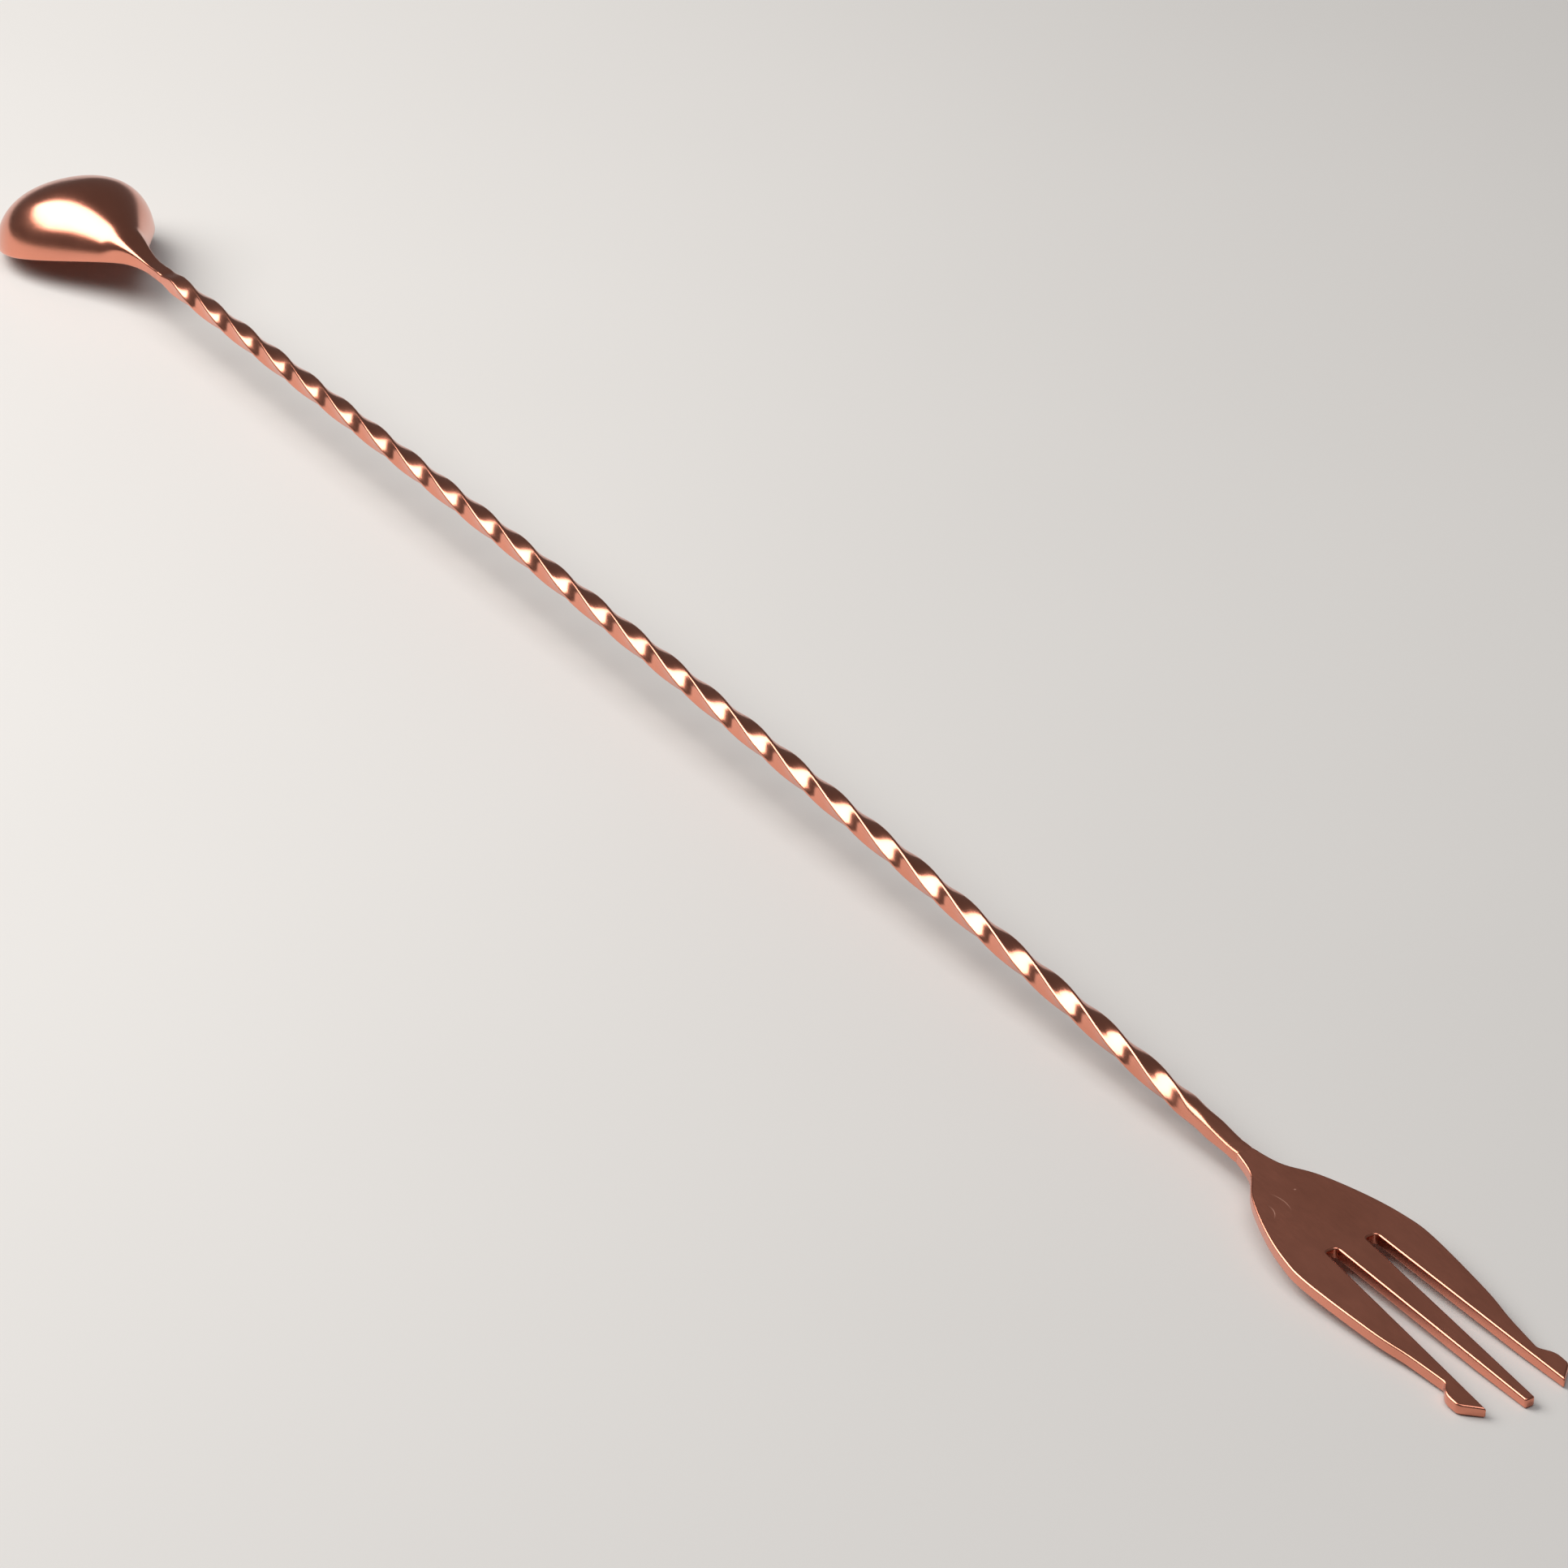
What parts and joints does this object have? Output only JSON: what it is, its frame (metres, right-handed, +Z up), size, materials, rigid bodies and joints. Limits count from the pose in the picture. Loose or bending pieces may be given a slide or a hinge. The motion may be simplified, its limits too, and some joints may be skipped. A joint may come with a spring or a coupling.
{
  "type": "bar spoon",
  "caption": "Long bar spoon: a deep teardrop bowl, a twisted square rod and a flat barbed fork with open slots at the other end.",
  "frame": {"origin": "middle of the length, midway across, on the surface that the spoon lies on", "axes": "+X from the bowl to the fork, +Y across, +Z up from the surface; the bowl lies face down"},
  "size_m": [0.4, 0.0256, 0.0144],
  "materials": {
    "fork_copper": "copper plated, fine satin faces and polished edges",
    "stem_copper": "copper plated, polished",
    "bowl_copper": "copper plated, polished",
    "weld_copper": "copper plated over a dressed weld"
  },
  "bodies": {
    "root": {"fork_head": "fork_copper", "fork_weld": "weld_copper", "twisted_stem": "stem_copper", "bowl_weld": "weld_copper", "spoon_bowl": "bowl_copper"}
  },
  "joints": []
}
